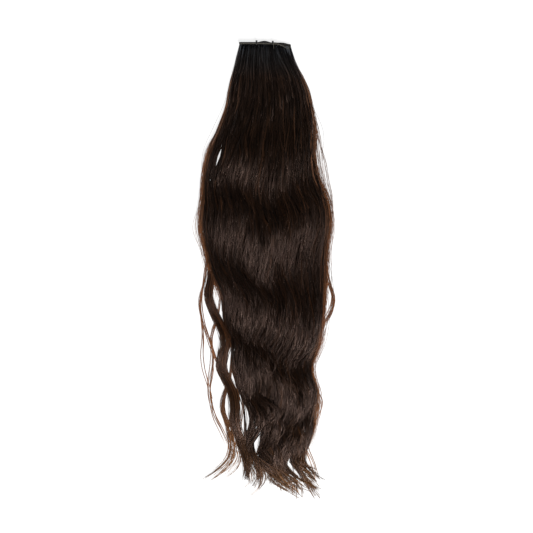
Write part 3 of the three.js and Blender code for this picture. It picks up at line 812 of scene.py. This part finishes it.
def loose_strands(row):
    """Centre lines of one lock: the fall's edge, then a smooth way through its places. A thick lock is
    fullest in its middle, by the root of a sine, and a thin one widens evenly to its tip."""
    width, height, count, downs, sides = row
    downs, sides = np.array(downs, float), np.array(sides, float)
    # A home at the edge of the fall, and ends that are scattered more in a wider lock.
    start, end = downs[0], downs[-1]
    left, right, _ = [float(v) for v in outline_at(start)]
    home = np.clip((sides[0] - left) / (right - left) + random.normal(0, 0.02, count), 0.015, 0.985)
    ends = end - np.minimum(random.gamma(1.1, 4 + width, count), 0.5 * (end - start))
    down = spaced_steps(root_starts(home), ends)
    share = np.clip((down - start) / (end - start), 0.02, 0.98)
    # A place in the section of the lock for each bundle, and a section that changes along the way.
    bundle = np.arange(count) // (BUNDLE if width < THICK_LOCK else 1)
    bundles = bundle[-1] + 1
    reach = np.sqrt(random.uniform(0, 1, bundles))[bundle]
    angle = random.uniform(0, 2 * np.pi, bundles)[bundle]
    thick = float(ramp(*THIN_WIDTHS, width))
    taper = blend(0.5 + 0.8 * share, 0.4 + 0.6 * np.sqrt(np.sin(np.pi * share)), thick)
    frizz = random.normal(0, 0.3, (count, 1))
    frizz = frizz + swung(down, random.gamma(1.5, 0.6 - 0.2 * thick, bundles), bundle, 50, 120)
    fall_x, fall_height, wave = fall_at(down, home[:, None])
    aside = 0.5 * width * (reach * np.cos(angle))[:, None] * taper
    own_x = curve_through(downs, sides, down) + aside + frizz
    own_z = 0.5 + 0.5 * height * taper * (1 + (reach * np.sin(angle))[:, None] + 0.6 * wave * thick)
    peel = ramp(start - PEEL_BEFORE, start + PEEL_AFTER, down)
    x = blend(fall_x, own_x, peel)
    z = np.maximum(under_band(blend(0.7 * fall_height, own_z, peel), down), LOWEST_LOOSE)
    # Light wisps as in the fall, and a browner rim and tip, the more so the thinner the lock is: painted
    # light for the light that comes through thin hair.
    tones = random.gamma(0.4, 0.1 + 0.08 * thick, count)[:, None] * ramp(*LOOSE_DARK, down)
    tones = tones * (1 - 0.5 * ramp(*LOOSE_FADES, down))
    rim = (0.4 - 0.32 * thick) * ramp(0.6, 1.0, np.abs(reach * np.cos(angle)))
    rim += 6 * np.clip(1 / width - 0.06, 0, 0.15) * random.uniform(0.2, 1.0, bundles)[bundle]
    tones = tones + rim[:, None] * peel + (0.3 - 0.28 * thick) * near_tip(down, ends, LOOSE_TIP)
    radii = strand_radii(count, blend(FINE_RADIUS, STRAND_RADIUS, float(ramp(*FINE_WIDTHS, width))))
    return x, down, z, radii, tones, own_numbers(count, 1)


loose_lines = [np.concatenate(values) for values in zip(*[loose_strands(row) for row in LOOSE_LOCKS])]
make_strands("loose_lock_strands", *loose_lines)

# %% [markdown]
# Last come the single hairs. Along both edges fine hairs bow out of the fall, and over its top some cross
# their neighbours. They are thin and catch the light, so they look lighter than the mass behind them.

# %% Single hairs at the edges
EDGE_HAIRS = 210
SIDE_WISPS = [  # down, side, reach, half length, hairs
    (150, 1, 13, 42, 18), (345, -1, 9, 60, 8), (245, -1, 6, 60, 12),
    (215, 1, 5, 55, 10), (440, 1, 6, 40, 8),
]
EDGE_ROOT, EDGE_SPREADS = 0.012, (5, 60)
LOWEST_EDGE = 0.3


def edge_hairs():
    """Hairs that follow an edge of the fall and bow outwards over one stretch, in a bell of its length."""
    rows = np.concatenate([np.tile((place, side, reach, length), (number, 1))
                           for place, side, reach, length, number in SIDE_WISPS]).astype(float)
    # The hairs that are not in a wisp get a place, a side, a reach and a length by chance.
    spare = EDGE_HAIRS - len(rows)
    strays = np.stack([random.uniform(110, 440, spare), random.choice([-1.0, 1.0], spare),
                       random.gamma(1.3, 1.7, spare), random.uniform(30, 80, spare)], axis=-1)
    place, side, reach, length = np.concatenate([rows, strays]).T
    count = len(place)
    reach = reach * random.uniform(0.4, 1.1, count)
    lowest = np.where(side < 0, random.uniform(240, 320, count), random.uniform(460, 535, count))
    ends = np.minimum(place + length * random.uniform(1.2, 4.0, count), lowest)
    inside = random.normal(0.003, 0.009, count)
    down = spaced_steps(root_starts(0.5 + 0.49 * side), ends)
    spread = blend(EDGE_ROOT, inside[:, None], ramp(*EDGE_SPREADS, down))
    x, height, _ = fall_at(down, 0.5 + side[:, None] * (0.5 - spread))
    shift = random.normal(0, 10, count)[:, None]
    bow = (side * reach)[:, None] * bell(place[:, None] - shift, length[:, None], down)
    frizz = swung(down, random.gamma(1.5, 0.5, count), np.arange(count), 50, 130)
    x = x + bow + frizz * ramp(*COMES_FREE, down)
    z = np.maximum(under_band(height * random.uniform(0.6, 1.25, count)[:, None], down), LOWEST_EDGE)
    # The further out a hair lies, the lighter it is painted: painted light for the light that comes through
    # thin hair.
    tones = np.clip(random.normal(0.7, 0.3, count) - 15 * inside, 0.05, 1)[:, None] * ramp(2, 30, down)
    return x, down, z, strand_radii(count, FINE_RADIUS), tones, own_numbers(count, 1)


make_strands("edge_hairs", *edge_hairs())

# %% Single hairs over the top
TOP_HAIRS = 170


def top_hairs():
    """Hairs that lie over the fall and swing across it more freely than the strands under them."""
    count = TOP_HAIRS
    across = random.uniform(0.05, 0.95, count)
    down = spaced_steps(root_starts(across), random.uniform(400, 535, count))
    x, height, _ = fall_at(down, across[:, None], random.normal(0, 8.0, count)[:, None])
    swing = swung(down, random.uniform(1.5, 5.0, count), np.arange(count), 90, 220)
    x = parted(x + swing * ramp(20, 160, down), down)
    z = under_band(height + random.uniform(0.2, 1.2, count)[:, None] + swells(x, down), down)
    tones = random.gamma(0.8, 0.05, count)[:, None]
    return x, down, z, strand_radii(count, FINE_RADIUS), tones, own_numbers(count, 1)


make_strands("top_hairs", *top_hairs())

# %% [markdown]
# The weft band. A sewing machine lays the cut ends of the hair between rows of polyester thread and
# stitches them down, which makes a flat strip with hair showing between the stitches. The strip is a
# rounded section carried along the folded way, and the thread is added on top of it as real stitches,
# because they are what catches the light.

# %% The folded way of the band
RUN_POINTS, TURN_POINTS = 76, 9


def folded_way():
    """Rows of x, z, face normal x and z, and lift: level runs joined by half-round turns at their ends."""
    parts = []
    radius = FOLD_PITCH / 2
    for layer in range(len(BAND_LAYERS)):
        heading = -1.0 if layer % 2 else 1.0
        z = BAND_UNDERSIDE + BAND_THICKNESS / 2 + layer * FOLD_PITCH
        x = heading * np.linspace(-FOLD_HALF_WIDTH, FOLD_HALF_WIDTH, RUN_POINTS)
        even = np.ones_like(x)
        parts.append(np.stack([x, z * even, 0 * even, heading * even, band_lift(layer, x)], axis=-1))
        if layer + 1 < len(BAND_LAYERS):
            angle = np.linspace(0, np.pi, TURN_POINTS)[1:-1]
            end = heading * FOLD_HALF_WIDTH
            out_x, out_z = heading * np.sin(angle), -np.cos(angle)
            lift = blend(band_lift(layer, end), band_lift(layer + 1, end), angle / np.pi)
            parts.append(np.stack([end + radius * out_x, z + radius + radius * out_z,
                                   -heading * out_x, -heading * out_z, lift], axis=-1))
    return np.concatenate(parts)


BAND_WAY = folded_way()
BAND_RUN = np.concatenate([[0.0], np.cumsum(np.hypot(*np.diff(BAND_WAY[:, :2], axis=0).T))])


def on_band(run, rise, out):
    """A point on the band: run along it, rise above its lower edge, and out from its middle."""
    x, z, normal_x, normal_z, lift = [np.interp(run, BAND_RUN, column) for column in BAND_WAY.T]
    return in_frame(x + out * normal_x, -(lift + rise), z + out * normal_z)


print("band length unfolded, mm:", round(BAND_RUN[-1], 1))

# %% Hair pressed under machine stitching
LINE_SPACING = 0.5
WAVE_REPEAT = 0.314  # a wave texture of scale 1 repeats after this length


def sewn_hair():
    """Dull and ribbed to the eye: dark lines of pressed hair run across the strip. Real ones are 0.1 mm
    apart, too fine to show, so these are 0.5 mm apart."""
    sewn, tree, output = new_finish("machine_sewn_hair_and_polyester")
    place = add_node(tree, "ShaderNodeUVMap", uv_map="BandUV")
    lines = add_node(tree, "ShaderNodeTexWave", {"Vector": place.outputs["UV"]},
                     {"Scale": WAVE_REPEAT / LINE_SPACING, "Distortion": 2.0, "Detail": 2.0},
                     bands_direction="X")
    colour = add_node(tree, "ShaderNodeValToRGB", {"Fac": lines.outputs["Fac"]})
    set_stops(colour, [(0.0, "#080707"), (0.7, "#1c1917"), (1.0, "#3a332d")])
    relief = add_node(tree, "ShaderNodeBump", {"Height": lines.outputs["Fac"]},
                      {"Strength": 0.4, "Distance": 0.1 * MM})
    shader = add_node(tree, "ShaderNodeBsdfPrincipled",
                      {"Base Color": colour.outputs["Color"], "Normal": relief.outputs["Normal"]},
                      {"Roughness": 0.6, "IOR": 1.54, "Specular IOR Level": 0.4})
    tree.links.new(shader.outputs["BSDF"], output.inputs["Surface"])
    return sewn


SEWN_HAIR = sewn_hair()
print("band finish:", SEWN_HAIR.name)

# %% The strip
STITCH_LENGTH = 1.6
BAND_STEP, BAND_SIDES = 0.8, 14
STITCH_PINCH = 0.07
RISE_POWER, OUT_POWER = 0.4, 0.6


def rounded(value, power):
    """A power of the size of a value with its sign kept: below 1 it squares a circle's corners."""
    return np.sign(value) * np.abs(value) ** power


def weft_strip():
    """The strip: a rounded rectangle round the way, pinched a little at each stitch by a cosine."""
    run = np.linspace(0, BAND_RUN[-1], int(BAND_RUN[-1] / BAND_STEP))[:, None]
    angle = 2 * np.pi * (np.arange(BAND_SIDES) + 0.5)[None, :] / BAND_SIDES
    rise = 0.5 * BAND_HEIGHT * (1 + rounded(np.cos(angle), RISE_POWER))
    swell = 1 - STITCH_PINCH + STITCH_PINCH * np.cos(2 * np.pi * run / STITCH_LENGTH)
    out = -0.5 * BAND_THICKNESS * swell * rounded(np.sin(angle), OUT_POWER)
    along, level = np.broadcast_arrays(run, rise)
    grid = on_band(along, level, out)
    quads, caps = closed_grid(*grid.shape[:2])
    corners = np.concatenate([quads.ravel(), caps.ravel()])
    maps = {"BandUV": np.stack([along.ravel()[corners], level.ravel()[corners]], axis=-1)}
    return make_piece("weft_strip", grid, (quads, caps), maps, SEWN_HAIR, "weft_band")


weft_strip()

# %% [markdown]
# Sewing thread is spun: thin plies wind round each other, so that a close look shows slanted ribs, and
# the fibres scatter light without a sharp gloss. The same finish serves the pale thread of the stitches
# and the black thread of the ties. A map that runs along and around each thread places the ribs, one turn
# in 1.2 mm of the fine thread and in 1.6 mm of the thicker one.

# %% Spun sewing thread
THREAD_SIDES = 5
PLIES = 2.0
THREAD_ACROSS = (0.31, 0.88, 0.36)  # a slanted direction that no stretch of thread follows


def spun_thread(name, dark, light, twist):
    """Ribs at (run / twist + share round the thread) * plies: a zigzag from 0 to 0.5 that lifts the surface
    and colours the thread dark in the grooves between plies and light on their crests, a painted shade."""
    thread, tree, output = new_finish(name)
    place = add_node(tree, "ShaderNodeUVMap", uv_map="ThreadUV")
    split = add_node(tree, "ShaderNodeSeparateXYZ", {"Vector": place.outputs["UV"]})
    turns = add_node(tree, "ShaderNodeMath", {0: split.outputs["X"], 2: split.outputs["Y"]}, {1: 1 / twist},
                     operation="MULTIPLY_ADD")
    plies = add_node(tree, "ShaderNodeMath", {0: turns.outputs["Value"]}, {1: PLIES}, operation="MULTIPLY")
    ribs = add_node(tree, "ShaderNodeMath", {0: plies.outputs["Value"]}, {1: 0.5}, operation="PINGPONG")
    # Painted shade: the colour is dark in the grooves between the plies and light on their crests.
    colour = add_node(tree, "ShaderNodeValToRGB", {"Fac": ribs.outputs["Value"]})
    set_stops(colour, [(0.0, dark), (0.5, light)])
    relief = add_node(tree, "ShaderNodeBump", {"Height": ribs.outputs["Value"]},
                      {"Strength": 0.6, "Distance": 0.1 * MM})
    shader = add_node(tree, "ShaderNodeBsdfPrincipled",
                      {"Base Color": colour.outputs["Color"], "Normal": relief.outputs["Normal"]},
                      {"Roughness": 0.65, "IOR": 1.54, "Specular IOR Level": 0.4, "Sheen Weight": 0.2})
    tree.links.new(shader.outputs["BSDF"], output.inputs["Surface"])
    return thread


def make_threads(name, centres, radius, finish, node):
    """Threads along centre lines in metres, mapped by the run in millimetres and the share of the turn."""
    count, steps = centres.shape[:2]
    corners = tube_corners(centres, np.full((count, steps), MM * radius), THREAD_SIDES, THREAD_ACROSS)
    tube, step, around = corner_places(count, steps, THREAD_SIDES)
    lengths = np.linalg.norm(np.diff(centres, axis=1), axis=-1)
    run = np.concatenate([np.zeros((count, 1)), np.cumsum(lengths, axis=1)], axis=1) / MM
    maps = {"ThreadUV": np.stack([run[tube, step], around / THREAD_SIDES], axis=-1)}
    return make_piece(name, corners, tube_faces(count, steps, THREAD_SIDES), maps, finish, node)


PALE_THREAD = spun_thread("spun_polyester_thread_pale", "#403d36", "#7a7566", twist=1.2)
BLACK_THREAD = spun_thread("spun_cotton_thread_black", "#060606", "#1b1a1a", twist=1.6)
print("thread finishes:", PALE_THREAD.name, BLACK_THREAD.name)

# %% [markdown]
# The stitches. Two rows of pale thread hold the hair on each face of the strip, a black thread winds over
# its upper edge, and one loose end hangs out beside the right tie. A bump could hint at them, but real
# thread throws the small shadows that make a band look sewn. Each row is one long tube along the folded
# way.

# %% Stitches of the band
STITCH_ROWS = (0.4, 0.8)
STITCH_RADIUS, EDGE_RADIUS, END_RADIUS = 0.13, 0.12, 0.2
STEPS_PER_STITCH = 5
STITCH_SWAY, STITCH_CLEAR, STITCH_SINK = 0.13, 0.04, 0.1
EDGE_INSIDE, EDGE_RISE, EDGE_REACH = 0.25, 0.3, 0.58
END_PLACE, END_LENGTH, END_BOW = (9.9, -1.4, 8.9), 6.4, 0.5
STITCH_COUNT = int(BAND_RUN[-1] / STITCH_LENGTH) - 1


def stitch_run(steps):
    """Places along the whole band, with a number of steps to each stitch."""
    return STITCH_LENGTH * np.linspace(0.5, STITCH_COUNT + 0.5, steps * STITCH_COUNT + 1)[None, :]


def band_stitches():
    """Rows of stitches on both faces: each sinks once a stitch, by a cosine, and sways by a slower sine."""
    run = stitch_run(STEPS_PER_STITCH)
    face = np.repeat((-1.0, 1.0), len(STITCH_ROWS))[:, None]
    row = np.tile(STITCH_ROWS, 2)[:, None]
    turn = 2 * np.pi * run / STITCH_LENGTH
    rise = row + STITCH_SWAY * np.sin(0.5 * turn + 1.3 * row)
    out = face * (0.5 * BAND_THICKNESS + STITCH_CLEAR + STITCH_SINK * np.cos(turn + 2.1 * row))
    return on_band(run + 0 * row, rise, out)


def edge_stitches():
    """A thread that winds over the upper edge: from face to face once a stitch, highest as it crosses."""
    run = stitch_run(2 * STEPS_PER_STITCH)
    turn = 2 * np.pi * run / STITCH_LENGTH
    rise = BAND_HEIGHT - EDGE_INSIDE + EDGE_RISE * np.cos(2 * turn)
    return on_band(run, rise, EDGE_REACH * np.sin(turn))


def thread_end():
    """The loose end of the stitching: it leaves the band beside the right tie, lies over the hair, and
    bows sideways and upwards by sines."""
    t = np.linspace(0, 1, 14)[None, :]
    x, down, z = END_PLACE
    return in_frame(x + END_BOW * np.sin(2 * t), down + END_LENGTH * t, z + END_BOW * np.sin(np.pi * t))


make_threads("weft_stitches", band_stitches(), STITCH_RADIUS, PALE_THREAD, "weft_band")
make_threads("weft_edge_stitches", edge_stitches(), EDGE_RADIUS, BLACK_THREAD, "weft_band")
make_threads("weft_thread_end", thread_end(), END_RADIUS, PALE_THREAD, "weft_band")

# %% [markdown]
# Two ties keep the fold together. Each is one length of black thread: a short end, a knot at the band's
# upper edge, three turns round all five layers, and another short end. It is one tube along one line, as
# the real thread is.

# %% Thread ties
TIE_TURNS, TURN_PITCH, TURN_STEPS = 3, 0.52, 40
TIE_RADIUS, TIE_INSET = 0.3, 0.34
TIE_HALF_WIDTH, TIE_SQUARENESS = 1.7, 8.0
KNOT_SIZE, KNOT_RISE, KNOT_DEPTH = 0.27, 0.55, 1.4
TAIL_FAR, TAIL_NEAR = 0.6, 0.2
FIRST_TAIL = np.array([(-1.6, 0.9, 0.6), (-0.8, -0.4, 0.5)])  # the way of a thread's end, and its bend
LAST_TAIL = np.array([(1.5, 0.7, 1.0), (0.7, -0.5, 0.6)])


def tie_line(place):
    """Ends, knot and turns as one line: the knot is a trefoil, the turns are squared circles round the
    layers, and each end bends by the square of its run."""
    covered = place + TIE_HALF_WIDTH * np.array([-1.0, 0.0, 1.0])
    lifts = np.array([band_lift(layer, covered) for layer in range(len(BAND_LAYERS))])
    low, high = lifts.min() - TIE_INSET, lifts.max() + BAND_HEIGHT + TIE_INSET
    bottom = BAND_UNDERSIDE - TIE_INSET
    top = BAND_UNDERSIDE + BAND_THICKNESS + (len(BAND_LAYERS) - 1) * FOLD_PITCH + TIE_INSET
    turn = np.linspace(0, TIE_TURNS, TURN_STEPS * TIE_TURNS + 1)
    across, up = [rounded(wave(2 * np.pi * turn), 2 / TIE_SQUARENESS) for wave in (np.cos, np.sin)]
    loops = np.stack([place + TURN_PITCH * (turn - TIE_TURNS / 2),
                      0.5 * (low + high) + 0.5 * (high - low) * across,
                      0.5 * (bottom + top) + 0.5 * (top - bottom) * up], axis=-1)
    knot_middle = np.array([place, high + KNOT_RISE, (bottom + 2 * top) / 3])
    t = np.linspace(0.2, 2 * np.pi - 0.2, TURN_STEPS)
    knot = knot_middle + KNOT_SIZE * np.stack([np.sin(t) + 2 * np.sin(2 * t), np.cos(t) - 2 * np.cos(2 * t),
                                               -KNOT_DEPTH * np.sin(3 * t)], axis=-1)
    inwards = np.linspace(TAIL_FAR, TAIL_NEAR, 8)[:, None]
    outwards = inwards[::-1]
    first_tail = knot_middle + inwards * FIRST_TAIL[0] + inwards**2 * FIRST_TAIL[1]
    last_tail = knot_middle + outwards * LAST_TAIL[0] + outwards**2 * LAST_TAIL[1]
    x, rise, z = np.concatenate([first_tail, knot, loops, last_tail]).T
    return in_frame(x, -rise, z)[None]


for side, place in TIE_PLACES.items():
    make_threads(f"tie_thread_{side}", tie_line(place), TIE_RADIUS, BLACK_THREAD,
                 f"thread_tie_{side}")

# %% [markdown]
# The floor and the light. The extension lies on a white surface. The light comes softly from beyond the
# tips and a little from the right, so the slopes that face the tips shine and the slopes that face the
# band stay dark, which is what draws the bands of the body wave. The floor glows a little, because a
# studio lights such a surface until it is pure white.

# %% Floor and light
FLOOR_HALF, FLOOR_GLOW = 6.0, 0.8
KEY_FROM, KEY_SIZE, KEY_WATTS = Vector((0.7, -1.5, 2.6)), 1.3, 115.0
ROOM_LIGHT = 0.12


def white_floor():
    """A flat sheet, wide enough to fill the view, in a matt white finish."""
    corners = FLOOR_HALF * np.array([(-1, -1, 0), (1, -1, 0), (1, 1, 0), (-1, 1, 0)])
    mesh = bpy.data.meshes.new("white_floor")
    mesh.from_pydata(corners.tolist(), [], [(0, 1, 2, 3)])
    finish, tree, output = new_finish("matt_white_paper")
    shader = add_node(tree, "ShaderNodeBsdfPrincipled", None,
                      {"Base Color": linear("#959595"), "Roughness": 0.9, "Specular IOR Level": 0.1,
                       "Emission Color": linear("#ffffff"), "Emission Strength": FLOOR_GLOW})
    tree.links.new(shader.outputs["BSDF"], output.inputs["Surface"])
    mesh.materials.append(finish)
    floor = bpy.data.objects.new("white_floor", mesh)
    bpy.context.scene.collection.objects.link(floor)
    return floor


def soft_light(name, place, size, watts):
    """A square soft light that looks at the middle of the hair."""
    lamp = bpy.data.lights.new(name, "AREA")
    lamp.size = size
    lamp.energy = watts
    light = bpy.data.objects.new(name, lamp)
    light.location = place
    light.rotation_euler = (-place).to_track_quat("-Z", "Y").to_euler()
    bpy.context.scene.collection.objects.link(light)
    return light


def soft_room(light):
    """A white room: seen as white, and lighting the hair only faintly, so that its dark bands stay dark."""
    world = bpy.data.worlds.new("soft_studio")
    world.use_nodes = True
    tree = world.node_tree
    tree.nodes.clear()
    seen = add_node(tree, "ShaderNodeLightPath")
    glow = add_node(tree, "ShaderNodeMapRange", {"Value": seen.outputs["Is Camera Ray"]},
                    {"To Min": light, "To Max": 1.0})
    room = add_node(tree, "ShaderNodeBackground", {"Strength": glow.outputs["Result"]},
                    {"Color": (1.0, 1.0, 1.0, 1.0)})
    add_node(tree, "ShaderNodeOutputWorld", {"Surface": room.outputs["Background"]})
    bpy.context.scene.world = world


white_floor()
soft_light("key_light", KEY_FROM, KEY_SIZE, KEY_WATTS)
soft_room(ROOM_LIGHT)
bpy.context.scene.view_settings.view_transform = "Standard"
print("key light from", [round(v, 2) for v in KEY_FROM], "m")

# %% [markdown]
# The camera looks straight down with a long lens, so that nothing is drawn out of shape. Its height
# follows from the width that the picture has to show: 533 pixels of 1.2 mm.

# %% Camera straight above
IMAGE_PIXELS, PIXEL_MM = 533, 1.2
LENS, SENSOR = 100.0, 36.0
VIEW_CENTRE = Vector(in_frame(1.8, 266.6, 10.0).tolist())

camera_data = bpy.data.cameras.new("above")
camera_data.lens = LENS
camera_data.sensor_width = SENSOR
camera = bpy.data.objects.new("above", camera_data)
camera.location = VIEW_CENTRE + Vector((0, 0, IMAGE_PIXELS * PIXEL_MM * MM * LENS / SENSOR))
bpy.context.scene.collection.objects.link(camera)
bpy.context.scene.camera = camera
print("camera height, m:", round(camera.location.z, 3))
